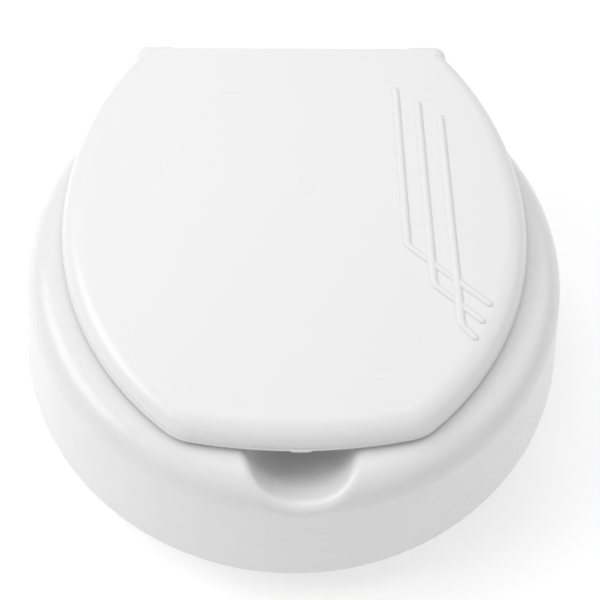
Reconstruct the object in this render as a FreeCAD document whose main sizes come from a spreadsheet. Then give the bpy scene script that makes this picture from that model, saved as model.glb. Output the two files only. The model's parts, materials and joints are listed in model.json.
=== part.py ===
import FreeCAD, Part
import math
import os
import Sketcher

# Raised toilet seat: a hollow round riser that sits on a toilet bowl and is held
# by two sliding clamps, with a hinged lid.  Millimetres, +Z up, front towards -Y.
# The origin is on the riser's axis, at the lowest edge of the splash skirt.

Vector = FreeCAD.Vector
Placement = FreeCAD.Placement
Rotation = FreeCAD.Rotation

os.makedirs("parts", exist_ok=True)
doc = FreeCAD.newDocument("RaisedToiletSeat")

# ---------------------------------------------------------------- driving sizes

SIZES = {
    # how far a cut runs past the face it opens
    "past": 1,
    # riser
    "skirt_depth": 32,
    "riser_height": 100,
    "base_radius": 205,
    "wall_lean": 0.17,
    "shoulder_round": 22,
    "base_round": 3,
    "ring_inner": 150,
    "dish_inner": 95,
    "dish_depth": 9,
    "wall": 4,
    "aperture_radius": 107,
    "aperture_shift": 21,
    "aperture_round": 7,
    "skirt_wall": 4,
    # hygiene scoop at the front
    "scoop_radius": 37,
    "scoop_tilt": 32,
    "scoop_lip_reach": 186,
    "scoop_lip_height": 88,
    "scoop_round": 7,
    "scoop_back": 60,
    "scoop_reach": 165,
    # hinge deck at the rear
    "deck_half_width": 92,
    "deck_rear": 182,
    "deck_front": 131,
    "deck_drop": 2,
    "deck_corner": 18,
    "hinge_boss_depth": 20,
    # lid
    "lid_gap": 3.5,
    "lid_height": 15,
    "lid_wall": 2.8,
    "lid_half_width": 165.5,
    "lid_widest": 24,
    "lid_rear": 174.5,
    "lid_rear_half": 114,
    "lid_side_arc": 214,
    "lid_front": 155.5,
    "lid_front_arc": 380,
    "lid_front_corner": 34,
    "lid_rear_corner": 15,
    "lid_round": 12,
    "tab_width": 14,
    "tab_reach": 0.8,
    "tab_height": 2,
    "knuckle_radius": 9.5,
    "knuckle_inner": 91,
    "knuckle_outer": 110,
    # raised lines on the lid
    "bar_radius": 4,
    "bar_sink": 2.2,
    "bar_first": 76.5,
    "bar_pitch": 16,
    "bar_start": 130,
    "bar_start_step": 13,
    "bar_bend": 8.5,
    "bar_bend_step": 31.5,
    "bar_end_side": 131,
    "bar_end_side_step": 6.3,
    "bar_end": 57.5,
    "bar_end_step": 13,
    # hinge
    "hinge_back": 167.5,
    "hinge_rise": 11,
    "pin_radius": 2.5,
    "pin_chamfer": 0.5,
    "running_gap": 0.05,
    "eye_radius": 4.5,
    "eye_gap": 0.5,
    "block_inner": 66,
    "block_outer": 90.5,
    "block_front": 133,
    "block_back": 165,
    "block_base": 4,
    "block_notch_gap": 1.5,
    "block_heel": 1,
    "block_arm": 1.5,
    "block_arm_share": 0.9,
    "block_crest": 6,
    "block_crest_rise": 2,
    "block_corner": 3,
    "screw_radius": 2.5,
    "screw_head_radius": 4.5,
    "screw_head": 3,
    "screw_head_round": 1.2,
    "cross_length": 5,
    "cross_width": 1,
    "cross_depth": 1.4,
    "screw_length": 15,
    "screw_first": 139.5,
    "screw_second": 152.5,
    "insert_radius": 3.5,
    "insert_length": 11,
    # buffers
    "buffer_radius": 6,
    "buffer_clear": 0.3,
    "buffer_round": 1.5,
    "socket_depth": 5,
    "socket_wall": 2,
    "front_buffer_side": 76,
    "front_buffer_y": 132,
    "rear_buffer_side": 120,
    "rear_buffer_y": 104,
    # clamps
    "channel_inner": 112.5,
    "channel_outer": 195,
    "channel_half": 19,
    "channel_depth": 20,
    "bracket_inner": 113.5,
    "bracket_half": 16,
    "bracket_thick": 4,
    "bracket_reach": 24,
    "bracket_tail": 7,
    "bracket_bend_inside": 3,
    "bracket_bend_outside": 5,
    "bracket_corner": 6,
    "clamp_travel": 22,
    "stud_side": 160,
    "stud_radius": 4,
    "stud_slot_gap": 0.4,
    "stud_length": 17,
    "stud_chamfer": 1,
    "washer_radius": 9,
    "washer_thick": 1.5,
    "knob_radius": 13,
    "knob_height": 11,
    "knob_flute": 3,
    "knob_round": 2,
    "clamp_insert_radius": 5,
    "clamp_insert_length": 14,
    "clamp_boss_radius": 9,
    "clamp_boss_height": 18,
    "pad_thick": 6,
    "pad_half": 14,
    "pad_top": 30,
    "pad_bottom": 10,
    "pad_round": 2,
    # underside
    "grip_length": 26,
    "grip_width": 12,
    "grip_thick": 2,
    "grip_round": 0.8,
    "grip_circle": 168,
    "vent_back": 168,
    "vent_radius": 3,
    "vent_flange": 6,
    "vent_flange_gap": 0.2,
    "vent_sink": 1.6,
    "vent_tail": 2,
}

FLUTES = 6
GRIPS = 4
EDGE_BAND = 5        # edges further out than the seat ring's inner edge, in mm

sheet = doc.addObject("Spreadsheet::Sheet", "Sizes")
for row, (alias, value) in enumerate(SIZES.items(), start=1):
    sheet.set("A%d" % row, alias)
    sheet.set("B%d" % row, str(value))
    sheet.setAlias("B%d" % row, alias)
doc.recompute()

# levels and places that several pieces share, as formulas on the sheet
REST = "Sizes.skirt_depth"
SEAT = "(Sizes.skirt_depth + Sizes.riser_height)"
DECK = "(%s - Sizes.deck_drop)" % SEAT
LID_BOTTOM = "(%s + Sizes.lid_gap)" % SEAT
LID_TOP = "(%s + Sizes.lid_height)" % LID_BOTTOM
CEILING = "(%s - Sizes.lid_wall)" % LID_TOP
HINGE_Z = "(%s + Sizes.hinge_rise)" % DECK
CHANNEL_TOP = "(%s + Sizes.channel_depth)" % REST
ARM_BOTTOM = "(%s - Sizes.bracket_thick)" % CHANNEL_TOP
KNOB_TOP = "(%s - Sizes.washer_thick)" % ARM_BOTTOM
KNOB_BOTTOM = "(%s - Sizes.knob_height)" % KNOB_TOP


def size(formula):
    """The value of a formula on the sheet, as a plain number."""
    return float(sheet.evalExpression(str(formula)))


# ---------------------------------------------------------------- small helpers

def new_body(label):
    body = doc.addObject("PartDesign::Body", label)
    body.Label = label
    return body


def bind(obj, prop, formula):
    obj.setExpression(prop, str(formula))


def sketch_on(body, name, role, lift="0"):
    """A sketch on one of the body's origin planes, lifted along its normal."""
    plane = [f for f in body.Origin.OriginFeatures if f.Role == role][0]
    sketch = body.newObject("Sketcher::SketchObject", name)
    sketch.AttachmentSupport = [(plane, "")]
    sketch.MapMode = "FlatFace"
    bind(sketch, "AttachmentOffset.Base.z", lift)
    return sketch


def hold(sketch, geo, pos, x, y):
    """Fix a point of the sketch to two formulas; a plain 0 puts it on the axis."""
    for kind, formula, axis in (("DistanceX", x, -2), ("DistanceY", y, -1)):
        if formula == "0":
            sketch.addConstraint(Sketcher.Constraint("PointOnObject", geo, pos, axis))
            continue
        index = sketch.addConstraint(
            Sketcher.Constraint(kind, -1, 1, geo, pos, size(formula)))
        bind(sketch, "Constraints[%d]" % index, formula)


def polygon(sketch, points):
    """A closed polygon whose corners are pairs of formulas."""
    corners = [Vector(size(x), size(y), 0) for x, y in points]
    count = len(points)
    for i in range(count):
        sketch.addGeometry(Part.LineSegment(corners[i], corners[(i + 1) % count]), False)
    for i in range(count):
        sketch.addConstraint(Sketcher.Constraint("Coincident", i, 2, (i + 1) % count, 1))
    for i, (x, y) in enumerate(points):
        hold(sketch, i, 1, x, y)


def pad(body, sketch, length, name):
    feature = body.newObject("PartDesign::Pad", name)
    feature.Profile = sketch
    bind(feature, "Length", length)
    return feature


def revolve(body, sketch, name):
    feature = body.newObject("PartDesign::Revolution", name)
    feature.Profile = sketch
    feature.ReferenceAxis = (sketch, ["V_Axis"])
    feature.Angle = 360
    return feature


def primitive(body, kind, name, sizes, place, turn=None):
    """An additive or subtractive primitive; place and sizes are formulas."""
    feature = body.newObject("PartDesign::" + kind, name)
    if turn is not None:
        feature.Placement = Placement(Vector(), turn)
    for prop, formula in sizes.items():
        bind(feature, prop, formula)
    for axis, formula in zip("xyz", place):
        bind(feature, "Placement.Base." + axis, formula)
    return feature


def box(body, kind, name, low, high):
    """A box between two corners, each a triple of formulas."""
    sides = ["(%s) - (%s)" % (b, a) for a, b in zip(low, high)]
    sizes = dict(zip(("Length", "Width", "Height"), sides))
    return primitive(body, kind + "Box", name, sizes, low)


def stadium(body, kind, name, radius, low, high):
    """Two upright cylinders and the block between them: the aperture's outline."""
    tall = "(%s) - (%s)" % (high, low)
    shift = "Sizes.aperture_shift"
    for tag, y in (("Front", "-" + shift), ("Rear", shift)):
        primitive(body, kind + "Cylinder", name + tag, {"Radius": radius, "Height": tall},
                  ("0", y, low))
    box(body, kind, name + "Middle", ("-(%s)" % radius, "-" + shift, low),
        (radius, shift, high))


def edges_where(feature, test):
    """Names of the feature's edges whose middle point and edge pass the test."""
    names = []
    for i, edge in enumerate(feature.Shape.Edges, start=1):
        middle = edge.valueAt((edge.FirstParameter + edge.LastParameter) / 2)
        if test(middle, edge):
            names.append("Edge%d" % i)
    if not names:
        raise RuntimeError("no edge of " + feature.Name + " passes the test")
    return names


def dress(body, kind, prop, name, formula, test):
    """A fillet or chamfer on the edges of the body's tip that pass the test."""
    doc.recompute()
    base = body.Tip
    names = edges_where(base, test)
    feature = body.newObject("PartDesign::" + kind, name)
    feature.Base = (base, names)
    bind(feature, prop, formula)
    doc.recompute()
    return feature


def fillet(body, name, radius, test):
    return dress(body, "Fillet", "Radius", name, radius, test)


def chamfer(body, name, depth, test):
    return dress(body, "Chamfer", "Size", name, depth, test)


def near(a, b, slack=0.01):
    return abs(a - b) < slack


def group(label, members):
    """Separate identical solids that share one node."""
    compound = doc.addObject("Part::Compound", label)
    compound.Label = label
    compound.Links = members
    return compound


def side_of(name):
    """-1 for the left piece and 1 for the right one."""
    return -1 if name == "left" else 1


def span(side, inner, outer):
    """The low and high X formulas of a stretch on one side."""
    if side < 0:
        return "-(%s)" % outer, "-(%s)" % inner
    return inner, outer


# ---------------------------------------------------------------- riser

def scoop_tool(body, kind, name, radius):
    """A tilted cylinder whose lowest line starts at the scoop's lip and runs inwards."""
    tilt = math.radians(size("Sizes.scoop_tilt"))
    turn = Rotation(Vector(0, 0, 1), Vector(0, math.cos(tilt), -math.sin(tilt)))
    tilt_y = "sin(Sizes.scoop_tilt)"
    tilt_z = "cos(Sizes.scoop_tilt)"
    lip_z = "(%s + Sizes.scoop_lip_height)" % REST
    place = (
        "0",
        "-Sizes.scoop_lip_reach + Sizes.scoop_radius * %s - Sizes.scoop_back * %s"
        % (tilt_y, tilt_z),
        "%s + Sizes.scoop_radius * %s + Sizes.scoop_back * %s" % (lip_z, tilt_z, tilt_y),
    )
    sizes = {"Radius": radius, "Height": "Sizes.scoop_reach"}
    return primitive(body, kind + "Cylinder", name, sizes, place, turn)


def riser_profile(body, name, inset):
    """Half section of the riser, the same shape inset by a wall for its cavity."""
    sketch = sketch_on(body, name, "XZ_Plane")
    lean = "Sizes.wall_lean"
    side = "Sizes.base_radius - %s * sqrt(1 + %s * %s)" % (inset, lean, lean)
    low = "%s + %s" % (REST, inset)
    top = "%s - %s" % (SEAT, inset)
    ring = "Sizes.ring_inner"
    dish = "%s - Sizes.dish_depth - %s" % (SEAT, inset)
    polygon(sketch, [
        ("0", low),
        ("%s - %s * %s" % (side, lean, inset), low),
        ("%s - %s * (Sizes.riser_height - %s)" % (side, lean, inset), top),
        (ring, top),
        ("Sizes.dish_inner", dish),
        ("0", dish),
    ])
    return sketch


def rounded_deck(body):
    """The rear deck that carries the hinges: a block with two rounded upright corners."""
    half = "Sizes.deck_half_width"
    rear = "Sizes.deck_rear"
    corner = "Sizes.deck_corner"
    inner = "(%s - %s)" % (half, corner)
    shelf = "(%s - %s)" % (rear, corner)
    front = "Sizes.deck_front"
    tall = "%s - %s" % (DECK, REST)
    box(body, "Additive", "DeckWide", ("-" + half, front, REST), (half, shelf, DECK))
    box(body, "Additive", "DeckBack", ("-" + inner, front, REST), (inner, rear, DECK))
    for tag, x in (("Left", "-" + inner), ("Right", inner)):
        primitive(body, "AdditiveCylinder", "DeckCorner" + tag,
                  {"Radius": corner, "Height": tall}, (x, shelf, REST))


def seat_shell():
    """The riser as one block, outside shape only, with every opening cut."""
    body = new_body("riser_block")
    revolve(body, riser_profile(body, "Section", "0"), "Riser")
    top = size(SEAT)
    ring = size("Sizes.ring_inner")
    fillet(body, "Shoulder", "Sizes.shoulder_round",
           lambda p, e: near(p.z, top) and math.hypot(p.x, p.y) > ring + EDGE_BAND)
    rounded_deck(body)
    box(body, "Subtractive", "DeckStep",
        ("-Sizes.deck_half_width", "Sizes.deck_front", DECK),
        ("Sizes.deck_half_width", "Sizes.base_radius", "%s + Sizes.past" % SEAT))
    scoop_tool(body, "Subtractive", "Scoop", "Sizes.scoop_radius")
    fillet(body, "ScoopLip", "Sizes.scoop_round",
           lambda p, e: p.y < 0 and abs(p.x) < size("Sizes.scoop_radius") + EDGE_BAND
           and p.z > (size(REST) + size(SEAT)) / 2)
    stadium(body, "Additive", "Skirt", "Sizes.aperture_radius + Sizes.skirt_wall", "0",
            "%s + Sizes.wall" % REST)
    stadium(body, "Subtractive", "Aperture", "Sizes.aperture_radius", "-Sizes.past",
            "%s + Sizes.past" % SEAT)
    radius = size("Sizes.aperture_radius")
    shift = size("Sizes.aperture_shift")
    fillet(body, "ApertureRim", "Sizes.aperture_round",
           lambda p, e: p.z > (size(REST) + size(SEAT)) / 2
           and e.BoundBox.ZLength < size("Sizes.riser_height") / 2
           and near(math.hypot(p.x, max(abs(p.y) - shift, 0)), radius, 0.1))
    return body


def clamp_cuts(body, side, name):
    """One clamp's channel in the underside, and the blind hole for its insert."""
    low_x, high_x = span(side, "Sizes.channel_inner", "Sizes.channel_outer")
    box(body, "Subtractive", name + "Channel",
        (low_x, "-Sizes.channel_half", REST + " - Sizes.past"),
        (high_x, "Sizes.channel_half", CHANNEL_TOP))
    primitive(body, "SubtractiveCylinder", name + "InsertHole",
              {"Radius": "Sizes.clamp_insert_radius", "Height": "Sizes.clamp_insert_length"},
              ("%d * Sizes.stud_side" % side, "0", CHANNEL_TOP))


def hinge_spots():
    """Middle of each hinge screw: side, X formula and Y formula."""
    middle = "(Sizes.block_inner + Sizes.block_outer) / 2"
    for side in (-1, 1):
        for y in ("Sizes.screw_first", "Sizes.screw_second"):
            yield side, "%d * %s" % (side, middle), y


def seat_cavity():
    """The air space inside the riser: one ring that leaves a wall all round."""
    body = new_body("riser_cavity")
    revolve(body, riser_profile(body, "CavitySection", "Sizes.wall"), "Cavity")
    top = size(SEAT) - size("Sizes.wall")
    ring = size("Sizes.ring_inner")
    fillet(body, "CavityShoulder", "Sizes.shoulder_round - Sizes.wall",
           lambda p, e: near(p.z, top) and math.hypot(p.x, p.y) > ring + EDGE_BAND)
    floor = REST + " + Sizes.wall"
    shelf = "%s - Sizes.hinge_boss_depth" % DECK
    narrow = "(Sizes.deck_half_width - 3 * Sizes.wall)"
    box(body, "Additive", "DeckCavity", ("-" + narrow, "Sizes.deck_front", floor),
        (narrow, "Sizes.deck_rear - Sizes.wall", shelf))
    box(body, "Subtractive", "DeckWall",
        ("-Sizes.deck_half_width - Sizes.wall", "Sizes.deck_front - Sizes.wall",
         "%s - Sizes.wall" % DECK),
        ("Sizes.deck_half_width + Sizes.wall", "Sizes.base_radius", SEAT))
    for side in (-1, 1):
        low_x, high_x = span(side, "Sizes.block_inner - Sizes.wall",
                             "Sizes.block_outer + Sizes.wall")
        box(body, "Subtractive", "HingeBoss%d" % (side + 1),
            (low_x, "Sizes.deck_front", shelf), (high_x, "Sizes.deck_rear", SEAT))
    scoop_tool(body, "Subtractive", "ScoopWall", "Sizes.scoop_radius + Sizes.wall")
    stadium(body, "Subtractive", "ApertureWall", "Sizes.aperture_radius + Sizes.wall", "0",
            SEAT)
    for side in (-1, 1):
        low_x, high_x = span(side, "Sizes.aperture_radius", "Sizes.base_radius")
        tag = "ClampWall%d" % (side + 1)
        box(body, "Subtractive", tag,
            (low_x, "-Sizes.channel_half - Sizes.wall", REST),
            (high_x, "Sizes.channel_half + Sizes.wall", "%s + Sizes.wall" % CHANNEL_TOP))
        primitive(body, "SubtractiveCylinder", tag + "Boss",
                  {"Radius": "Sizes.clamp_boss_radius", "Height": "Sizes.clamp_boss_height"},
                  ("%d * Sizes.stud_side" % side, "0", CHANNEL_TOP))
    return body


def seat_body():
    """The hollow riser: block less cavity, with its channels, holes and vent."""
    block = seat_shell()
    for side in (-1, 1):
        clamp_cuts(block, side, "Clamp%d" % (side + 1))
    for i, (side, x, y) in enumerate(hinge_spots()):
        primitive(block, "SubtractiveCylinder", "InsertSeat%d" % i,
                  {"Radius": "Sizes.insert_radius", "Height": "Sizes.insert_length"},
                  (x, y, "%s - Sizes.insert_length" % DECK))
        primitive(block, "SubtractiveCylinder", "ScrewSeat%d" % i,
                  {"Radius": "Sizes.screw_radius + Sizes.running_gap",
                   "Height": "Sizes.screw_length"},
                  (x, y, "%s - Sizes.screw_length" % DECK))
    primitive(block, "SubtractiveCylinder", "VentSink",
              {"Radius": "Sizes.vent_flange", "Height": "Sizes.vent_sink + Sizes.past"},
              ("0", "Sizes.vent_back", REST + " - Sizes.past"))
    primitive(block, "SubtractiveCylinder", "Vent",
              {"Radius": "Sizes.vent_radius", "Height": "Sizes.wall + Sizes.past"},
              ("0", "Sizes.vent_back", REST))
    base = size("Sizes.base_radius")
    fillet(block, "BaseEdge", "Sizes.base_round",
           lambda p, e: near(p.z, size(REST)) and near(math.hypot(p.x, p.y), base, 0.1))
    cut = doc.addObject("Part::Cut", "seat_body")
    cut.Label = "seat_body"
    cut.Base = block
    cut.Tool = seat_cavity()
    return cut


# ---------------------------------------------------------------- lid

def lid_outline(body, name, lift, inset):
    """The lid's plan: straight rear, two side arcs that meet at the widest point, and
    a shallow front arc.  An inset draws the same outline a wall further in."""
    sketch = sketch_on(body, name, "XY_Plane", lift)
    half = "(Sizes.lid_half_width - %s)" % inset
    step = "(Sizes.lid_half_width - Sizes.lid_rear_half)"
    run = "(Sizes.lid_rear - Sizes.lid_widest)"
    rear_arc = "((%s * %s + %s * %s) / (2 * %s) - %s)" % (step, step, run, run, step, inset)
    side_arc = "(Sizes.lid_side_arc - %s)" % inset
    front_arc = "(Sizes.lid_front_arc - %s)" % inset
    rear = "(Sizes.lid_rear - %s)" % inset
    widest = size("Sizes.lid_widest")
    w = size(half)
    r1, r2, r3 = size(rear_arc), size(side_arc), size(front_arc)
    y_rear = size(rear)
    y3 = -size("Sizes.lid_front") + size("Sizes.lid_front_arc")
    x_rear = w - r1 + math.sqrt(r1 ** 2 - (y_rear - widest) ** 2)
    # the corner where the side arc crosses the front arc
    gap = Vector(r2 - w, y3 - widest, 0)
    reach = gap.Length
    along = (r2 ** 2 - r3 ** 2 + reach ** 2) / (2 * reach)
    aside = math.sqrt(r2 ** 2 - along ** 2)
    unit = gap / reach
    centre = Vector(w - r2, widest, 0)
    corner = centre + unit * along + Vector(unit.y, -unit.x, 0) * aside
    corners = [Vector(-x_rear, y_rear, 0), Vector(x_rear, y_rear, 0),
               Vector(w, widest, 0), corner, Vector(-corner.x, corner.y, 0),
               Vector(-w, widest, 0)]
    arcs = [None, (Vector(w - r1, widest, 0), r1), (centre, r2), (Vector(0, y3, 0), r3),
            (Vector(r2 - w, widest, 0), r2), (Vector(r1 - w, widest, 0), r1)]
    for i, arc in enumerate(arcs):
        start, end = corners[i], corners[(i + 1) % 6]
        if arc is None:
            sketch.addGeometry(Part.LineSegment(start, end), False)
            continue
        # arcs are stored anticlockwise and the outline is drawn clockwise
        first = math.atan2(end.y - arc[0].y, end.x - arc[0].x)
        last = math.atan2(start.y - arc[0].y, start.x - arc[0].x)
        if last < first:
            last += 2 * math.pi
        whole = Part.Circle(arc[0], Vector(0, 0, 1), arc[1])
        sketch.addGeometry(Part.ArcOfCircle(whole, first, last), False)
    ends = [(1, 2)] + [(2, 1)] * 5
    for i in range(6):
        follower = (i + 1) % 6
        sketch.addConstraint(Sketcher.Constraint(
            "Coincident", i, ends[i][1], follower, ends[follower][0]))
    hold(sketch, 2, ends[2][0], half, "Sizes.lid_widest")
    hold(sketch, 5, ends[5][0], "-" + half, "Sizes.lid_widest")
    for geo, formula in ((1, rear_arc), (2, side_arc), (3, front_arc), (4, side_arc),
                         (5, rear_arc)):
        index = sketch.addConstraint(Sketcher.Constraint("Radius", geo, size(formula)))
        bind(sketch, "Constraints[%d]" % index, formula)
    for geo, other in ((1, 2), (2, 2), (4, 5), (5, 5)):
        sketch.addConstraint(Sketcher.Constraint("Horizontal", geo, 3, other, ends[other][0]))
    sketch.addConstraint(Sketcher.Constraint("PointOnObject", 3, 3, -2))
    index = sketch.addConstraint(Sketcher.Constraint("DistanceY", -1, 1, 3, 3, y3))
    bind(sketch, "Constraints[%d]" % index, "Sizes.lid_front_arc - Sizes.lid_front")
    sketch.addConstraint(Sketcher.Constraint("Horizontal", 0))
    index = sketch.addConstraint(Sketcher.Constraint("DistanceY", -1, 1, 0, 1, y_rear))
    bind(sketch, "Constraints[%d]" % index, rear)
    return sketch


def round_lid(body, name, inset, level):
    """Round the lid's upright corners, then the edge all round its top."""
    y_rear = size("Sizes.lid_rear - " + inset)
    formula = "Sizes.%s - " + inset
    fillet(body, name + "Rear", formula % "lid_rear_corner",
           lambda p, e: near(p.y, y_rear) and near(e.BoundBox.XLength, 0))
    fillet(body, name + "Front", formula % "lid_front_corner",
           lambda p, e: p.y < 0 and near(e.BoundBox.XLength, 0))
    fillet(body, name + "Top", formula % "lid_round", lambda p, e: near(p.z, level))


def raised_lines(body):
    """Three raised lines on the lid: each runs forward, bends and slants to the side."""
    level = "%s - Sizes.bar_sink" % LID_TOP
    radius = "Sizes.bar_radius"
    for i in range(3):
        x = "Sizes.bar_first + %d * Sizes.bar_pitch" % i
        start = "Sizes.bar_start - %d * Sizes.bar_start_step" % i
        bend = "-Sizes.bar_bend - %d * Sizes.bar_bend_step" % i
        end_x = "Sizes.bar_end_side - %d * Sizes.bar_end_side_step" % i
        end_y = "-Sizes.bar_end - %d * Sizes.bar_end_step" % i
        primitive(body, "AdditiveCylinder", "Line%d" % i,
                  {"Radius": radius, "Height": "%s - (%s)" % (start, bend)},
                  (x, start, level), Rotation(Vector(0, 0, 1), Vector(0, -1, 0)))
        slant = Vector(size(end_x) - size(x), size(end_y) - size(bend), 0)
        length = "sqrt(pow(%s - (%s); 2) + pow(%s - (%s); 2))" % (end_x, x, end_y, bend)
        primitive(body, "AdditiveCylinder", "Slant%d" % i,
                  {"Radius": radius, "Height": length},
                  (x, bend, level), Rotation(Vector(0, 0, 1), slant))
        for tag, px, py in (("Start", x, start), ("Bend", x, bend), ("End", end_x, end_y)):
            primitive(body, "AdditiveSphere", "Line%s%d" % (tag, i), {"Radius": radius},
                      (px, py, level))


def buffer_spots(row):
    """Middle of the two buffers of one row, front or rear, as formulas."""
    y = "-Sizes.front_buffer_y" if row == "front" else "Sizes.rear_buffer_y"
    for side in (-1, 1):
        yield side, "%d * Sizes.%s_buffer_side" % (side, row), y


def along_hinge(body, kind, name, radius, low_x, high_x):
    """A cylinder on the hinge axis between two X formulas."""
    return primitive(body, kind + "Cylinder", name,
                     {"Radius": radius, "Height": "(%s) - (%s)" % (high_x, low_x)},
                     (low_x, "Sizes.hinge_back", HINGE_Z),
                     Rotation(Vector(0, 0, 1), Vector(1, 0, 0)))


def lid_knuckles(block, hollow):
    """Each side's round-ended knuckle with its pin bore, and the room for the hinge block."""
    for side in (-1, 1):
        tag = str(side + 1)
        low_x, high_x = span(side, "Sizes.knuckle_inner", "Sizes.knuckle_outer")
        for body, kind in ((hollow, "Subtractive"), (block, "Additive")):
            along_hinge(body, kind, "Knuckle" + tag, "Sizes.knuckle_radius", low_x, high_x)
            primitive(body, kind + "Sphere", "KnuckleEnd" + tag,
                      {"Radius": "Sizes.knuckle_radius"},
                      ("%d * Sizes.knuckle_outer" % side, "Sizes.hinge_back", HINGE_Z))
        low_x, high_x = span(side, "Sizes.knuckle_inner - Sizes.past",
                             "Sizes.knuckle_outer - Sizes.lid_wall")
        along_hinge(block, "Subtractive", "PinBore" + tag,
                    "Sizes.pin_radius + Sizes.running_gap", low_x, high_x)
        # the rear wall is cut away over each hinge block, below the axis
        low_x, high_x = span(side, "Sizes.block_inner - Sizes.block_notch_gap",
                             "Sizes.knuckle_inner")
        box(block, "Subtractive", "BlockNotch" + tag,
            (low_x, "Sizes.lid_rear - 2 * Sizes.lid_wall", LID_BOTTOM + " - Sizes.past"),
            (high_x, "Sizes.lid_rear + Sizes.past", "%s + Sizes.past" % HINGE_Z))
        along_hinge(block, "Subtractive", "EyeRoom" + tag,
                    "Sizes.eye_radius + Sizes.eye_gap", low_x, high_x)


def buffer_sockets(block, hollow):
    """A round socket under the lid for each buffer."""
    foot = "%s - Sizes.socket_depth" % CEILING
    for row in ("front", "rear"):
        for side, x, y in buffer_spots(row):
            tag = "%s%d" % (row, side + 1)
            primitive(hollow, "SubtractiveCylinder", "Socket" + tag,
                      {"Radius": "Sizes.buffer_radius + Sizes.socket_wall",
                       "Height": "Sizes.socket_depth"}, (x, y, foot))
            primitive(block, "SubtractiveCylinder", "Bore" + tag,
                      {"Radius": "Sizes.buffer_radius", "Height": "Sizes.socket_depth"},
                      (x, y, foot))


def lid():
    """The lid: a shell with a rounded rim, hinge knuckles, raised lines and a lift tab."""
    block = new_body("lid_block")
    pad(block, lid_outline(block, "Outline", LID_BOTTOM, "0"), "Sizes.lid_height", "LidBlock")
    round_lid(block, "Edge", "0", size(LID_TOP))
    box(block, "Additive", "LiftTab",
        ("-Sizes.tab_width / 2", "-Sizes.lid_front - Sizes.tab_reach", LID_BOTTOM),
        ("Sizes.tab_width / 2", "-Sizes.lid_front + Sizes.lid_wall",
         "%s + Sizes.tab_height" % LID_BOTTOM))
    raised_lines(block)
    hollow = new_body("lid_hollow")
    inside = lid_outline(hollow, "InsideOutline", LID_BOTTOM + " - Sizes.past",
                         "Sizes.lid_wall")
    pad(hollow, inside, "Sizes.lid_height - Sizes.lid_wall + Sizes.past", "Inside")
    round_lid(hollow, "Inside", "Sizes.lid_wall", size(CEILING))
    lid_knuckles(block, hollow)
    buffer_sockets(block, hollow)
    cut = doc.addObject("Part::Cut", "lid_shell")
    cut.Label = "lid"
    cut.Base = block
    cut.Tool = hollow
    return cut


# ---------------------------------------------------------------- hinge

def hinge_block(name):
    """A foot screwed to the deck, with an arm that holds the pin's eye behind it."""
    side = side_of(name)
    body = new_body(name + "_hinge_block")
    low_x, high_x = span(side, "Sizes.block_inner", "Sizes.block_outer")
    width = "Sizes.block_outer - Sizes.block_inner"
    sketch = sketch_on(body, "Side", "YZ_Plane", low_x)
    foot = "%s + Sizes.block_base" % DECK
    eye = "Sizes.eye_radius"
    arm = "(Sizes.hinge_back - Sizes.block_arm)"
    crest = "(Sizes.block_back - Sizes.block_crest)"
    polygon(sketch, [
        ("Sizes.block_front", DECK),
        ("Sizes.block_back", DECK),
        ("Sizes.block_back", "%s + Sizes.block_heel" % DECK),
        (arm, "%s - Sizes.block_arm_share * %s" % (HINGE_Z, eye)),
        ("Sizes.hinge_back", HINGE_Z),
        (arm, "%s + Sizes.block_arm_share * %s" % (HINGE_Z, eye)),
        (crest, "%s + Sizes.block_crest_rise" % foot),
        (crest + " - Sizes.block_arm", foot),
        ("Sizes.block_front", foot),
    ])
    pad(body, sketch, width, "Arm")
    along_hinge(body, "Additive", "Eye", eye, low_x, high_x)
    along_hinge(body, "Subtractive", "EyeBore", "Sizes.pin_radius",
                low_x + " - Sizes.past", high_x + " + Sizes.past")
    for i, (spot_side, x, y) in enumerate(hinge_spots()):
        if spot_side == side:
            primitive(body, "SubtractiveCylinder", "ScrewHole%d" % i,
                      {"Radius": "Sizes.screw_radius + Sizes.running_gap",
                       "Height": "Sizes.block_base + 2 * Sizes.past"},
                      (x, y, "%s - Sizes.past" % DECK))
    front = size("Sizes.block_front")
    fillet(body, "FootCorners", "Sizes.block_corner",
           lambda p, e: near(p.y, front) and near(e.BoundBox.XLength, 0))
    return body


def hinge_pin(name):
    """A plain pin from the block's eye into the blind bore of the lid's knuckle."""
    side = side_of(name)
    body = new_body(name + "_hinge_pin")
    low_x, high_x = span(side, "Sizes.block_inner",
                         "Sizes.knuckle_outer - Sizes.lid_wall - Sizes.past")
    along_hinge(body, "Additive", "Pin", "Sizes.pin_radius", low_x, high_x)
    chamfer(body, "Ends", "Sizes.pin_chamfer", lambda p, e: near(e.BoundBox.XLength, 0))
    return body


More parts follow.
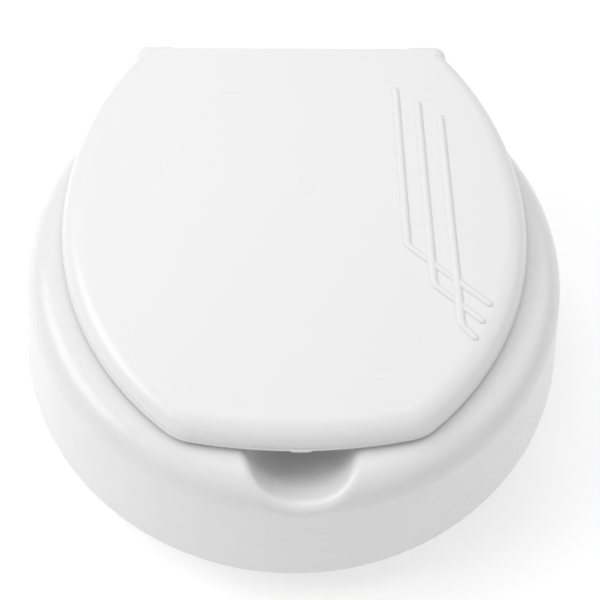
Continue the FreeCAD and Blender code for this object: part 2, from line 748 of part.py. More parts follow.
def hinge_screws():
    """Four pan-head screws with a cross recess, one group."""
    members = []
    head = "%s + Sizes.block_base" % DECK
    for i, (side, x, y) in enumerate(hinge_spots()):
        body = new_body("hinge_screw_%d" % i)
        primitive(body, "AdditiveCylinder", "Head%d" % i,
                  {"Radius": "Sizes.screw_head_radius", "Height": "Sizes.screw_head"},
                  (x, y, head))
        top = size(head) + size("Sizes.screw_head")
        fillet(body, "HeadRound%d" % i, "Sizes.screw_head_round", lambda p, e: near(p.z, top))
        primitive(body, "AdditiveCylinder", "Shank%d" % i,
                  {"Radius": "Sizes.screw_radius", "Height": "Sizes.screw_length"},
                  (x, y, "%s - Sizes.screw_length" % head))
        slots = ("Sizes.cross_length", "Sizes.cross_width")
        for tag, wide, deep in (("A",) + slots, ("B",) + slots[::-1]):
            box(body, "Subtractive", "Cross%s%d" % (tag, i),
                ("%s - %s / 2" % (x, wide), "%s - %s / 2" % (y, deep),
                 "%s + Sizes.screw_head - Sizes.cross_depth" % head),
                ("%s + %s / 2" % (x, wide), "%s + %s / 2" % (y, deep),
                 "%s + Sizes.screw_head + Sizes.past" % head))
        members.append(body)
    return group("hinge_block_screws", members)


def tube(name, outer, inner, length, place):
    """A plain upright tube, used for the inserts and washers."""
    body = new_body(name)
    primitive(body, "AdditiveCylinder", "Outside", {"Radius": outer, "Height": length}, place)
    primitive(body, "SubtractiveCylinder", "Hole", {"Radius": inner, "Height": length}, place)
    return body


def hinge_inserts():
    """Four brass inserts in the deck, one under each hinge screw."""
    members = []
    for i, (side, x, y) in enumerate(hinge_spots()):
        members.append(tube("hinge_insert_%d" % i, "Sizes.insert_radius",
                            "Sizes.screw_radius + Sizes.running_gap", "Sizes.insert_length",
                            (x, y, "%s - Sizes.insert_length" % DECK)))
    return group("hinge_screw_inserts", members)


# ---------------------------------------------------------------- buffers

def buffers(row):
    """Two rubber buffers pressed into sockets under the lid."""
    members = []
    foot = "%s + Sizes.buffer_clear" % SEAT
    for side, x, y in buffer_spots(row):
        body = new_body("%s_buffer_%d" % (row, side + 1))
        primitive(body, "AdditiveCylinder", "Stem",
                  {"Radius": "Sizes.buffer_radius", "Height": "%s - %s" % (CEILING, foot)},
                  (x, y, foot))
        low = size(foot)
        fillet(body, "Nose", "Sizes.buffer_round", lambda p, e: near(p.z, low))
        members.append(body)
    return group(row + "_lid_buffers", members)


# ---------------------------------------------------------------- clamps

def clamp_bracket(name):
    """An angle: a slotted arm in the channel and a leg that drops into the bowl."""
    side = side_of(name)
    body = new_body(name + "_clamp_bracket")
    outer = "(Sizes.stud_side + Sizes.stud_radius + Sizes.bracket_tail)"
    leg = "(Sizes.bracket_inner + Sizes.bracket_thick)"
    low_x, high_x = span(side, "Sizes.bracket_inner", outer)
    half = "Sizes.bracket_half"
    box(body, "Additive", "Arm", (low_x, "-" + half, ARM_BOTTOM), (high_x, half, CHANNEL_TOP))
    low_x, high_x = span(side, "Sizes.bracket_inner", leg)
    box(body, "Additive", "Leg",
        (low_x, "-" + half, "%s - Sizes.bracket_reach" % REST), (high_x, half, CHANNEL_TOP))
    inside = side * size(leg)
    bend = size(ARM_BOTTOM)
    across = size("Sizes.bracket_half")
    fillet(body, "InsideBend", "Sizes.bracket_bend_inside",
           lambda p, e: near(p.x, inside) and near(p.z, bend) and e.BoundBox.YLength > across)
    outside = side * size("Sizes.bracket_inner")
    top = size(CHANNEL_TOP)
    fillet(body, "OutsideBend", "Sizes.bracket_bend_outside",
           lambda p, e: near(p.x, outside) and near(p.z, top) and e.BoundBox.YLength > across)
    slot = "(Sizes.stud_radius + Sizes.stud_slot_gap)"
    near_x = "(Sizes.stud_side - Sizes.clamp_travel)"
    for tag, x in (("Inner", near_x), ("Outer", "Sizes.stud_side")):
        primitive(body, "SubtractiveCylinder", "Slot" + tag,
                  {"Radius": slot, "Height": "Sizes.bracket_thick + 2 * Sizes.past"},
                  ("%d * %s" % (side, x), "0", "%s - Sizes.past" % ARM_BOTTOM))
    low_x, high_x = span(side, near_x, "Sizes.stud_side")
    box(body, "Subtractive", "SlotMiddle",
        (low_x, "-" + slot, "%s - Sizes.past" % ARM_BOTTOM),
        (high_x, slot, "%s + Sizes.past" % CHANNEL_TOP))
    foot = size(REST) - size("Sizes.bracket_reach")
    tail = side * size(outer)
    fillet(body, "FootCorners", "Sizes.bracket_corner",
           lambda p, e: near(abs(p.y), across) and
           (near(p.z, foot) or near(p.x, tail) and near(e.BoundBox.XLength, 0)))
    return body


def clamp_pad(name):
    """The rubber pad bonded to the outer face of the leg; it presses on the bowl."""
    side = side_of(name)
    body = new_body(name + "_clamp_pad")
    leg = "(Sizes.bracket_inner + Sizes.bracket_thick)"
    low_x, high_x = span(side, leg, leg + " + Sizes.pad_thick")
    half = "Sizes.pad_half"
    box(body, "Additive", "Block", (low_x, "-" + half, "Sizes.pad_bottom"),
        (high_x, half, "Sizes.pad_top"))
    face = side * (size(leg) + size("Sizes.pad_thick"))
    fillet(body, "Round", "Sizes.pad_round", lambda p, e: near(p.x, face))
    return body


def clamp_washer(name):
    side = side_of(name)
    return tube(name + "_clamp_washer", "Sizes.washer_radius",
                "Sizes.stud_radius + Sizes.stud_slot_gap", "Sizes.washer_thick",
                ("%d * Sizes.stud_side" % side, "0", "%s - Sizes.washer_thick" % ARM_BOTTOM))


def clamp_insert(name):
    side = side_of(name)
    return tube(name + "_clamp_insert", "Sizes.clamp_insert_radius",
                "Sizes.stud_radius + Sizes.running_gap", "Sizes.clamp_insert_length",
                ("%d * Sizes.stud_side" % side, "0", CHANNEL_TOP))


def clamp_knob(name):
    """A round hand knob with six finger flutes, turned from below."""
    side = side_of(name)
    body = new_body(name + "_clamp_knob")
    centre = "%d * Sizes.stud_side" % side
    primitive(body, "AdditiveCylinder", "Disc",
              {"Radius": "Sizes.knob_radius", "Height": "Sizes.knob_height"},
              (centre, "0", KNOB_BOTTOM))
    low = size(KNOB_BOTTOM)
    fillet(body, "LowerEdge", "Sizes.knob_round", lambda p, e: near(p.z, low))
    for i in range(FLUTES):
        turn = 2 * math.pi * (i + 0.5) / FLUTES
        primitive(body, "SubtractiveCylinder", "Flute%d" % i,
                  {"Radius": "Sizes.knob_flute", "Height": "Sizes.knob_height"},
                  ("%s + Sizes.knob_radius * %.4f" % (centre, math.cos(turn)),
                   "Sizes.knob_radius * %.4f" % math.sin(turn), KNOB_BOTTOM))
    primitive(body, "SubtractiveCylinder", "StudHole",
              {"Radius": "Sizes.stud_radius", "Height": "Sizes.knob_height / 2"},
              (centre, "0", "%s - Sizes.knob_height / 2" % KNOB_TOP))
    return body


def clamp_stud(name):
    """The threaded stud fixed in the knob, drawn as a plain shank with a lead chamfer."""
    side = side_of(name)
    body = new_body(name + "_clamp_stud")
    foot = "(%s - Sizes.knob_height / 2)" % KNOB_TOP
    length = "(Sizes.stud_length + Sizes.knob_height / 2)"
    primitive(body, "AdditiveCylinder", "Shank",
              {"Radius": "Sizes.stud_radius", "Height": length},
              ("%d * Sizes.stud_side" % side, "0", foot))
    top = size(foot) + size(length)
    chamfer(body, "Lead", "Sizes.stud_chamfer", lambda p, e: near(p.z, top))
    return body


# ---------------------------------------------------------------- underside trim

def antislip_pads():
    """Four rubber pads on the rest face, on its diagonals."""
    members = []
    inner = "(Sizes.grip_circle - Sizes.grip_width / 2)"
    for i in range(GRIPS):
        turn = 2 * math.pi * (i + 0.5) / GRIPS
        body = new_body("grip_%d" % i)
        c, s = math.cos(turn), math.sin(turn)
        primitive(body, "AdditiveBox", "Grip%d" % i,
                  {"Length": "Sizes.grip_width", "Width": "Sizes.grip_length",
                   "Height": "Sizes.grip_thick"},
                  ("%s * %.6f + Sizes.grip_length / 2 * %.6f" % (inner, c, s),
                   "%s * %.6f - Sizes.grip_length / 2 * %.6f" % (inner, s, c),
                   "%s - Sizes.grip_thick" % REST),
                  Rotation(Vector(0, 0, 1), math.degrees(turn)))
        low = size(REST) - size("Sizes.grip_thick")
        fillet(body, "GripEdge%d" % i, "Sizes.grip_round", lambda p, e: near(p.z, low))
        members.append(body)
    return group("antislip_pads", members)


def vent_plug():
    """The soft plug that closes the cavity's vent; its flange is sunk in the rest face."""
    body = new_body("vent_plug")
    primitive(body, "AdditiveCylinder", "Flange",
              {"Radius": "Sizes.vent_flange - Sizes.vent_flange_gap",
               "Height": "Sizes.vent_sink"},
              ("0", "Sizes.vent_back", REST))
    primitive(body, "AdditiveCylinder", "Plug",
              {"Radius": "Sizes.vent_radius", "Height": "Sizes.wall + Sizes.vent_tail"},
              ("0", "Sizes.vent_back", REST))
    return body


# ---------------------------------------------------------------- assembly and export

def build():
    parts = [seat_body(), lid(), hinge_screws(), hinge_inserts(), buffers("front"),
             buffers("rear"), antislip_pads(), vent_plug()]
    for name in ("left", "right"):
        for make in (hinge_block, hinge_pin, clamp_bracket, clamp_pad, clamp_washer,
                     clamp_insert, clamp_knob, clamp_stud):
            parts.append(make(name))
    doc.recompute()
    return parts


def check_document(parts):
    """Stop if any object failed to recompute or any sub-part is not a sound solid."""
    for obj in doc.Objects:
        if "Invalid" in obj.State or "Error" in obj.State:
            raise RuntimeError("%s failed: %s" % (obj.Name, obj.State))
    for part in parts:
        shape = part.Shape
        if shape.isNull() or not shape.isValid() or not shape.Solids:
            raise RuntimeError("%s is not a sound solid" % part.Label)
        print("%-24s %8.1f cm3  %d solid(s)" % (part.Label, shape.Volume / 1000,
                                               len(shape.Solids)))


PARTS = build()
check_document(PARTS)
for part in PARTS:
    part.Shape.exportStep("parts/%s.step" % part.Label)
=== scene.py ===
import json
import math

import bmesh
import bpy
from mathutils import Matrix, Vector

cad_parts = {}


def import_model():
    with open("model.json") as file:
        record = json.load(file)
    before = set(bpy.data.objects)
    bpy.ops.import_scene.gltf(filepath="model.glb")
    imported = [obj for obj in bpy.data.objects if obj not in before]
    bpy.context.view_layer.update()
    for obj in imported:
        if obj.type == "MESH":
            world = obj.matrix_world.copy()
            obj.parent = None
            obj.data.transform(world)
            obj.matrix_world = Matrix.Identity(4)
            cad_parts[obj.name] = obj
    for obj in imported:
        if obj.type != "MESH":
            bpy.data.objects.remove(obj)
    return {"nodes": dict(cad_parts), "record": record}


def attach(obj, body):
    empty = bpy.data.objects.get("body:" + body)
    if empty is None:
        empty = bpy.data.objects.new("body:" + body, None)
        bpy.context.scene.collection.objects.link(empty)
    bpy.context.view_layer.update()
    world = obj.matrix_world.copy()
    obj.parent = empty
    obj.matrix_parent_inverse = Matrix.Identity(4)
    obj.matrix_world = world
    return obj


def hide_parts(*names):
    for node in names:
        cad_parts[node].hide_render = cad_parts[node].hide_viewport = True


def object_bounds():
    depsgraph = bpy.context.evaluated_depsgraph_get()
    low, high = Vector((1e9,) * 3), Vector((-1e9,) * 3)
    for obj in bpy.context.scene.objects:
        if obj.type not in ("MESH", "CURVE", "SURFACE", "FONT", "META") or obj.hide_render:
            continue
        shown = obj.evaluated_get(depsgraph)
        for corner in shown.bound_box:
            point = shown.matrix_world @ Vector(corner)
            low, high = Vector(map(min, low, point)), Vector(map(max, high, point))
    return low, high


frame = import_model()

# A raised toilet seat: a hollow white riser with a hinged lid. The scene is in metres, in the CAD
# frame, and the lid's own numbers are in millimetres.

NODES = frame["nodes"]
CAD_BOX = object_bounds()


# ---------------------------------------------------------------- materials

class Shader:
    """One material's node tree, with short calls for the nodes that it is built from."""

    SPAN = (0.1, 0.9)  # the part of a noise's range that colours and roughness are spread over

    def __init__(self, name, **sockets):
        self.material = bpy.data.materials.new(name)
        self.material.use_nodes = True
        self.tree = self.material.node_tree
        self.bsdf = next(n for n in self.tree.nodes if n.type == "BSDF_PRINCIPLED")
        self.coordinates = self.tree.nodes.new("ShaderNodeTexCoord")
        self.height = None
        for socket, value in sockets.items():
            self.bsdf.inputs[socket.replace("_", " ")].default_value = value

    def link(self, source, target):
        self.tree.links.new(source, target)

    def node(self, kind, **values):
        made = self.tree.nodes.new(kind)
        for key, value in values.items():
            if key in made.inputs:
                made.inputs[key].default_value = value
            else:
                setattr(made, key, value)
        return made

    def place(self, stretch=(1, 1, 1)):
        mapping = self.node("ShaderNodeMapping")
        mapping.inputs["Scale"].default_value = stretch
        self.link(self.coordinates.outputs["Object"], mapping.inputs["Vector"])
        return mapping.outputs["Vector"]

    def noise(self, scale, detail, stretch=(1, 1, 1)):
        made = self.node("ShaderNodeTexNoise", Scale=scale, Detail=detail)
        self.link(self.place(stretch), made.inputs["Vector"])
        return made.outputs["Fac"]

    def cells(self, scale):
        made = self.node("ShaderNodeTexVoronoi", Scale=scale)
        self.link(self.place(), made.inputs["Vector"])
        return made.outputs["Distance"]

    def colours(self, source, first, second):
        ramp = self.node("ShaderNodeValToRGB")
        for element, position, colour in zip(ramp.color_ramp.elements, self.SPAN, (first, second)):
            element.position = position
            element.color = (*colour, 1)
        self.link(source, ramp.inputs["Fac"])
        self.link(ramp.outputs["Color"], self.bsdf.inputs["Base Color"])

    def roughness(self, source, low, high):
        spread = self.node("ShaderNodeMapRange")
        for key, value in zip(("From Min", "From Max", "To Min", "To Max"),
                              (*self.SPAN, low, high)):
            spread.inputs[key].default_value = value
        self.link(source, spread.inputs["Value"])
        self.link(spread.outputs["Result"], self.bsdf.inputs["Roughness"])

    def bump(self, source, depth):
        """Add a layer of relief, its full height in metres."""
        made = self.node("ShaderNodeBump", Strength=1.0, Distance=depth)
        self.link(source, made.inputs["Height"])
        if self.height is not None:
            self.link(self.height, made.inputs["Normal"])
        self.height = made.outputs["Normal"]
        self.link(self.height, self.bsdf.inputs["Normal"])


def white(value, warm=0.0):
    """A grey level as a colour, a trace warmer than neutral where warm is 1."""
    return (value, value - 0.003 * warm, value - 0.008 * warm)


def hdpe():
    """The riser: blow-moulded, with a slow waviness and a fine spark-eroded grain."""
    s = Shader("white_hdpe", Specular_IOR_Level=0.5, IOR=1.5)
    s.colours(s.noise(9, 2), white(0.813), white(0.823))
    s.roughness(s.noise(11, 1), 0.255, 0.29)
    s.bump(s.noise(18, 2), 0.0016)
    s.bump(s.noise(1500, 2), 0.000008)
    return s.material


def pp():
    """The lid: injection-moulded, smoother and a little glossier."""
    s = Shader("white_pp", Specular_IOR_Level=0.5, IOR=1.49)
    s.colours(s.noise(7, 2), white(0.847), white(0.855))
    s.roughness(s.noise(14, 1), 0.265, 0.295)
    s.bump(s.noise(12, 2), 0.0003)
    s.bump(s.noise(1800, 2), 0.000005)
    return s.material


def moulded(name, value, warm, rough, grain):
    """A small moulded part, with a fine pebbled skin."""
    s = Shader(name, IOR=1.5)
    s.colours(s.noise(120, 5), white(value * 0.97, warm), white(value, warm))
    s.roughness(s.noise(200, 4), rough - 0.06, rough + 0.06)
    s.bump(s.cells(grain), 0.00004)
    return s.material


def rubber(name, value):
    s = Shader(name, IOR=1.52)
    s.colours(s.noise(160, 6), (value * 0.85,) * 3, (value,) * 3)
    s.roughness(s.noise(300, 4), 0.65, 0.85)
    s.bump(s.noise(2200, 4), 0.00006)
    return s.material


def metal(name, colour, stretch):
    """Steel or brass, with fine lines left by the tool that cut it."""
    s = Shader(name, Metallic=1.0)
    s.colours(s.noise(900, 3, stretch), tuple(0.85 * c for c in colour), colour)
    s.roughness(s.noise(700, 4, stretch), 0.18, 0.36)
    s.bump(s.noise(2500, 2, stretch), 0.00002)
    return s.material


FINISHES = {
    "white_hdpe": hdpe(),
    "white_pp": pp(),
    "white_nylon": moulded("white_nylon", 0.80, 1, 0.45, 900),
    "bracket_nylon": moulded("bracket_nylon", 0.76, 1, 0.5, 900),
    "knob_grey": moulded("knob_grey", 0.18, 0, 0.5, 700),
    "grey_rubber": rubber("grey_rubber", 0.08),
    "buffer_rubber": rubber("buffer_rubber", 0.6),
    "vent_ldpe": moulded("vent_ldpe", 0.74, 1, 0.4, 500),
    "stainless_screw": metal("stainless_screw", (0.66, 0.66, 0.67), (1, 1, 0.2)),
    "stainless_pin": metal("stainless_pin", (0.68, 0.68, 0.69), (1, 0.1, 0.1)),
    "brass": metal("brass", (0.76, 0.56, 0.26), (0.1, 0.1, 1)),
}

for part in frame["record"]["subparts"]:
    mesh = NODES[part["node"]].data
    mesh.materials.clear()
    mesh.materials.append(FINISHES[part["material_slot"]])


# ---------------------------------------------------------------- mesh building

MM = 0.001
SHARP = 35  # degrees: a wider turn between two faces keeps its edge crisp


class Surface:
    """Vertices in millimetres and faces, gathered from lofts and turned into one piece."""

    def __init__(self):
        self.points = []
        self.faces = []

    def loft(self, rings, loop=True, caps=True):
        """Join rings of equal length with quads; caps close the first and the last ring."""
        first = len(self.points)
        count = len(rings[0])
        for ring in rings:
            self.points.extend(ring)
        across = count if loop else count - 1
        for r in range(len(rings) - 1):
            for i in range(across):
                a, b = first + r * count + i, first + r * count + (i + 1) % count
                self.faces.append((a, b, b + count, a + count))
        if caps:
            last = first + (len(rings) - 1) * count
            self.faces.append(tuple(range(first + count - 1, first - 1, -1)))
            self.faces.append(tuple(range(last, last + count)))

    def made(self, name, sharp=SHARP):
        mesh = bpy.data.meshes.new(name)
        mesh.from_pydata([[c * MM for c in p] for p in self.points], [], self.faces)
        solid = bmesh.new()
        solid.from_mesh(mesh)
        bmesh.ops.recalc_face_normals(solid, faces=solid.faces)
        solid.to_mesh(mesh)
        solid.free()
        mesh.shade_smooth()
        mesh.set_sharp_from_angle(angle=math.radians(sharp))
        made = bpy.data.objects.new(name, mesh)
        bpy.context.scene.collection.objects.link(made)
        return made


def piece(made, body, slot, *nodes):
    """Give a new piece its finish and its body, and hide the CAD nodes that it stands for."""
    made.data.materials.append(FINISHES[slot])
    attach(made, body)
    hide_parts(*nodes)


def cut_away(target, cutters):
    """Subtract the cutters from the target and drop them."""
    for cutter in cutters:
        modifier = target.modifiers.new("cut", "BOOLEAN")
        modifier.operation, modifier.solver, modifier.object = "DIFFERENCE", "EXACT", cutter
    bpy.context.view_layer.update()
    result = target.evaluated_get(bpy.context.evaluated_depsgraph_get())
    mesh = bpy.data.meshes.new_from_object(result)
    target.modifiers.clear()
    target.data = mesh
    mesh.set_sharp_from_angle(angle=math.radians(SHARP))
    for cutter in cutters:
        bpy.data.objects.remove(cutter)


def block(low, high):
    """The corners of a box as two rings, lower and upper."""
    corners = ((low[0], low[1]), (high[0], low[1]), (high[0], high[1]), (low[0], high[1]))
    return [[(x, y, z) for x, y in corners] for z in (low[2], high[2])]


# ---------------------------------------------------------------- lid

# The outline is a straight rear edge and four arcs on each side; the rolls are the reach of the
# rounded rim, seen from above, along the rear edge, at its corner and everywhere else.
LID = {"rear": 174.5, "front": 155.5, "half": 165.5, "widest": 24, "rear_half": 114,
       "side_arc": 214, "front_arc": 380, "rear_corner": 15, "front_corner": 34,
       "bottom": 135.5, "top": 150.5, "wall": 2.8, "round": 12, "lip": 0.9,
       "rear_roll": 4, "corner_roll": 11, "roll": 16}
HINGE = (167.5, 141.0)  # the pins' axis, as Y and Z
ROOM = {"inner": 64.5, "outer": 91, "radius": 5, "low": (168.9, 134), "high": (176, 142)}
EAR = ((91, 8.9), (91.2, 9.3), (91.8, 9.5), (101, 9.5), (110, 9.5))  # X and radius
EAR_DOME = (12, 24, 36, 48, 60, 70, 79, 86)  # degrees round its outer end
SOCKETS = ((76, -132), (120, 104))
SOCKET_WALL = ((8, 147.9), (8, 143.1), (7.6, 142.7), (6.3, 142.7), (6.05, 143.0), (6.05, 147.9))
TAB_FRONT = -156.3
TAB_LAYERS = ((0.9, 135.5), (0.2, 135.5), (0, 135.8), (0, 136.8), (0.3, 137.3), (1.6, 137.8))
TAB_OUTLINE = ((-8.4, 1.4), (-7.2, 0.9), (-6.2, 0.25), (-5, 0), (5, 0), (6.2, 0.25), (7.2, 0.9),
               (8.4, 1.4))

# The three raised lines: the first one's points, and how far each next one is shifted.
LINES = {"x": 76.5, "x_step": 16, "start": 132, "start_step": 13, "bend": -8.5, "bend_step": 31.5,
         "end": (131, -57.5), "end_step": (6.3, 13)}
DOME = 3.4  # length of a line's rounded end
EASE = 4.0  # length of its bend, each way
WAIST, TAIL, TIP = 0.78, 0.88, 0.05  # its widths after the bend, at the far end and at a tip


def meeting(a, ra, b, rb):
    """Where two circles cross, on the side that is to the right of a line from a to b."""
    gap = b - a
    along = (ra ** 2 - rb ** 2 + gap.length ** 2) / (2 * gap.length)
    aside = math.sqrt(ra ** 2 - along ** 2)
    unit = gap.normalized()
    return a + unit * along + Vector((unit.y, -unit.x)) * aside


def lid_plan():
    """The lid's outline in plan: points, outward directions and the reach of the roll-off."""
    step = 2.5
    run, lean = LID["rear"] - LID["widest"], LID["half"] - LID["rear_half"]
    rear_arc = (lean ** 2 + run ** 2) / (2 * lean)
    rear = Vector((LID["half"] - rear_arc, LID["widest"]))
    side = Vector((LID["half"] - LID["side_arc"], LID["widest"]))
    front = Vector((0, LID["front_arc"] - LID["front"]))
    low, high = LID["front_corner"], LID["rear_corner"]
    back = LID["rear"] - high
    first = Vector((rear.x + math.sqrt((rear_arc - high) ** 2 - (back - rear.y) ** 2), back))
    second = meeting(side, LID["side_arc"] - low, front, LID["front_arc"] - low)
    turns = [math.pi / 2, math.atan2(first.y - rear.y, first.x - rear.x), 0,
             math.atan2(second.y - side.y, second.x - side.x),
             math.atan2(second.y - front.y, second.x - front.x), -math.pi / 2]
    arcs = [(first, high), (rear, rear_arc), (side, LID["side_arc"]), (second, low),
            (front, LID["front_arc"])]
    rolls = [LID["rear_roll"], LID["corner_roll"]] + [LID["roll"]] * 4
    right = []
    straight = math.ceil(first.x / step)
    for i in range(straight):
        right.append((Vector((first.x * i / straight, LID["rear"])), Vector((0, 1)), rolls[0]))
    for i, (centre, radius) in enumerate(arcs):
        count = max(6, math.ceil((turns[i] - turns[i + 1]) * radius / step))
        for k in range(count):
            share = k / count
            turn = turns[i] + (turns[i + 1] - turns[i]) * share
            out = Vector((math.cos(turn), math.sin(turn)))
            eased = share * share * (3 - 2 * share)
            right.append((centre + out * radius, out,
                          rolls[i] + (rolls[i + 1] - rolls[i]) * eased))
    right.append((Vector((0, -LID["front"])), Vector((0, -1)), rolls[-1]))
    flip = Vector((-1, 1))
    left = [(p * flip, n * flip, roll) for p, n, roll in right[-2:0:-1]]
    return right + left


def lid_rim():
    """The lid's section from the flat of its top, round the rim and lip, to its ceiling.

    Each point is an inset, a share of the roll-off's reach that is added to it, and a height.
    """
    top, bottom, lip = LID["top"], LID["bottom"], LID["lip"]
    bend = LID["round"]
    outside = [(lip + 1.2, 1, top), (lip + 0.5, 1, top)]
    for i in range(21):
        turn = math.pi / 2 * i / 20
        outside.append((lip, 1 - math.sin(turn), top - bend * (1 - math.cos(turn))))
    section = [(lip, bottom + 2.3), (lip - 0.05, bottom + 1.95), (lip - 0.3, bottom + 1.65),
                (0.25, bottom + 1.45), (0.05, bottom + 1.15), (0, bottom + 0.75),
                (0.1, bottom + 0.3), (0.4, bottom), (2.6, bottom),
                (LID["wall"] + 0.2, bottom + 0.25), (LID["wall"] + 0.3, bottom + 0.8)]
    inner = bend - LID["wall"]
    ceiling = top - LID["wall"]
    for i in range(9):
        turn = math.pi / 2 * (8 - i) / 8
        section.append((LID["wall"] + 0.3 + inner * (1 - math.sin(turn)),
                        ceiling - inner * (1 - math.cos(turn))))
    section.append((LID["wall"] + inner + 0.9, ceiling))
    return outside + [(inset, 0, z) for inset, z in section]


def turned(surface, x_radius, centre):
    """A body turned on an axis along X, from pairs of X and radius."""
    sides = 40
    rings = []
    for x, radius in x_radius:
        rings.append([(x, centre[0] + radius * math.sin(2 * math.pi * i / sides),
                       centre[1] + radius * math.cos(2 * math.pi * i / sides))
                      for i in range(sides)])
    surface.loft(rings)


def bead(surface, line, widths, level):
    """A rounded section swept along a path, scaled at each point by its width."""
    sunk = -0.04
    half = [(0, 1.80), (0.8, 1.76), (1.5, 1.62), (2.1, 1.36), (2.6, 0.98), (2.95, 0.5),
            (3.1, 0.1), (3.2, sunk)]
    section = [(-u, h) for u, h in half[:0:-1]] + half
    rings = []
    for i, (point, width) in enumerate(zip(line, widths)):
        ahead = (line[min(i + 1, len(line) - 1)] - line[max(i - 1, 0)]).normalized()
        side = Vector((-ahead.y, ahead.x))
        rings.append([(*(point + side * u * width), level + max(h * width, sunk))
                      for u, h in section])
    surface.loft(rings, loop=False, caps=False)


def raised_line(surface, index):
    """One of the three raised lines: forward, round a bend, then slanting and widening."""
    x = LINES["x"] + LINES["x_step"] * index
    start = Vector((x, LINES["start"] - LINES["start_step"] * index))
    bend = Vector((x, LINES["bend"] - LINES["bend_step"] * index))
    end = Vector([at - step * index for at, step in zip(LINES["end"], LINES["end_step"])])
    before, after = (bend - start).normalized(), (end - bend).normalized()
    line, widths = [], []
    dome = [math.radians(a) for a in (90, 72, 54, 36, 20, 8)]
    for turn in dome:
        line.append(start - before * DOME * math.sin(turn) + before * DOME)
        widths.append(max(math.cos(turn), TIP))
    for i in range(1, 24):
        line.append(start + before * DOME + (bend - start - before * (EASE + DOME)) * i / 24)
        widths.append(1.0)
    for i in range(9):
        t = i / 8
        a, b = bend - before * EASE, bend + after * EASE
        line.append(a * (1 - t) ** 2 + bend * 2 * t * (1 - t) + b * t ** 2)
        widths.append(1.0 + (WAIST - 1.0) * t)
    reach = (end - bend).length - EASE
    for i in range(1, 16):
        t = i / 16
        line.append(bend + after * (EASE + (reach - DOME) * t))
        widths.append(WAIST + (TAIL - WAIST) * t)
    for turn in dome[::-1]:
        line.append(end - after * DOME + after * DOME * math.sin(turn))
        widths.append(TAIL * max(math.cos(turn), TIP))
    bead(surface, line, widths, LID["top"])


def hinge_rooms():
    """Cutters for the lid's rear edge: a notch and a round room for each hinge block's eye."""
    cutters = []
    for side in (-1, 1):
        left, right = sorted((side * ROOM["inner"], side * ROOM["outer"]))
        notch = Surface()
        notch.loft(block((left, *ROOM["low"]), (right, *ROOM["high"])))
        cutters.append(notch.made("notch"))
        room = Surface()
        turned(room, [(left, ROOM["radius"]), (right, ROOM["radius"])], HINGE)
        cutters.append(room.made("room"))
    return cutters


def ear(surface, side):
    """A knuckle of the hinge, with a domed outer end."""
    end, radius = EAR[-1]
    dome = [(end + radius * math.sin(turn), radius * math.cos(turn))
            for turn in (math.radians(a) for a in EAR_DOME)]
    turned(surface, [(side * x, r) for x, r in (*EAR, *dome)], HINGE)


def socket(surface, x, y):
    """The ring under the lid that holds a buffer."""
    surface.loft([[(x + radius * math.cos(math.pi * i / 16),
                    y + radius * math.sin(math.pi * i / 16), z) for i in range(32)]
                  for radius, z in SOCKET_WALL], caps=False)


def lift_tab(surface):
    """The small lip at the front that a finger lifts the lid by."""
    surface.loft([[(x, TAB_FRONT + inset + lean, z) for x, lean in TAB_OUTLINE]
                  for inset, z in TAB_LAYERS], loop=False, caps=False)


def lid():
    plan = lid_plan()
    shell = Surface()
    shell.loft([[(*(p - n * (inset + share * roll)), z) for p, n, roll in plan]
                for inset, share, z in lid_rim()])
    made = shell.made("lid_shell")
    cut_away(made, hinge_rooms())
    piece(made, "lid_body", "white_pp", "lid")

    trim = Surface()
    for side in (-1, 1):
        ear(trim, side)
        for x, y in SOCKETS:
            socket(trim, side * x, y)
    lift_tab(trim)
    for index in range(3):
        raised_line(trim, index)
    piece(trim.made("lid_trim", 50), "lid_body", "white_pp", "lid")


# ---------------------------------------------------------------- floor, light and camera

def floor():
    """A pale flat floor, a hair below the seat's skirt and wide enough to fill any view."""
    half = 40.0
    z = CAD_BOX[0].z - 0.0002
    mesh = bpy.data.meshes.new("floor")
    mesh.from_pydata([(-half, -half, z), (half, -half, z), (half, half, z), (-half, half, z)],
                     [], [(0, 1, 2, 3)])
    made = bpy.data.objects.new("floor", mesh)
    bpy.context.scene.collection.objects.link(made)
    s = Shader("floor", Roughness=0.9)
    s.colours(s.noise(3, 2), (0.84, 0.84, 0.84), (0.86, 0.86, 0.86))
    s.bsdf.inputs["Emission Color"].default_value = (1, 1, 1, 1)
    s.bsdf.inputs["Emission Strength"].default_value = 0.31
    mesh.materials.append(s.material)


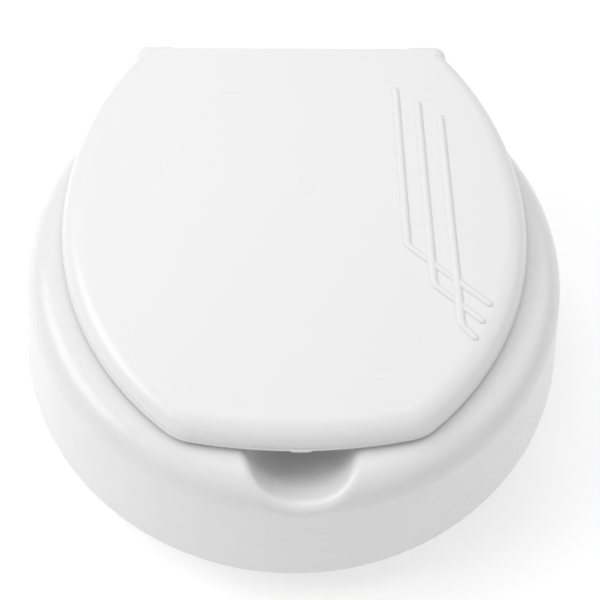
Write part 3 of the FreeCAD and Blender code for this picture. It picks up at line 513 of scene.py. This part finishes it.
def softbox(name, place, size, power):
    """A rectangular light that is aimed at the origin; its power is in watts."""
    light = bpy.data.lights.new(name, "AREA")
    light.shape = "RECTANGLE"
    light.size, light.size_y = size
    light.energy = power
    made = bpy.data.objects.new(name, light)
    made.location = place
    made.rotation_mode = "QUATERNION"
    made.rotation_quaternion = (-Vector(place)).to_track_quat("-Z", "Y")
    bpy.context.scene.collection.objects.link(made)


def world(low, high):
    """White all round, from one strength at the horizon and below to another overhead."""
    made = bpy.data.worlds.new("studio")
    made.use_nodes = True
    nodes, links = made.node_tree.nodes, made.node_tree.links
    coordinates = nodes.new("ShaderNodeTexCoord")
    split = nodes.new("ShaderNodeSeparateXYZ")
    grade = nodes.new("ShaderNodeMapRange")
    grade.inputs["To Min"].default_value = low
    grade.inputs["To Max"].default_value = high
    background = nodes["Background"]
    background.inputs["Color"].default_value = (1, 1, 1, 1)
    links.new(coordinates.outputs["Generated"], split.inputs["Vector"])
    links.new(split.outputs["Z"], grade.inputs["Value"])
    links.new(grade.outputs["Result"], background.inputs["Strength"])
    bpy.context.scene.world = made


def camera():
    """At the photograph's angle: 60 degrees above the floor, a little to the left.

    The numbers come from a fit to the photograph's base circle, shoulder and lid corners.
    """
    made = bpy.data.objects.new("camera", bpy.data.cameras.new("camera"))
    made.data.sensor_width = 36
    made.data.lens = 71.46
    made.data.clip_start, made.data.clip_end = 0.01, 50
    right = Vector((0.99926406, -0.02286546, 0.03079798))
    up = Vector((0.00450114, 0.86725802, 0.49783859))
    back = Vector((-0.03809311, -0.49733358, 0.86672269))
    turn = Matrix((right, up, back)).transposed().to_4x4()
    made.matrix_world = Matrix.Translation((-0.0295, -0.4510, 0.8457)) @ turn
    bpy.context.scene.collection.objects.link(made)
    bpy.context.scene.camera = made


lid()
floor()
softbox("overhead", (-0.2, 0.8, 1.9), (1.6, 1.6), 9)
softbox("left", (-1.25, 0.1, 1.3), (1.1, 0.7), 10)
softbox("right", (1.4, 0.3, 1.3), (1.0, 1.0), 3)
world(0.37, 0.64)
camera()
bpy.context.scene.view_settings.view_transform = "Standard"
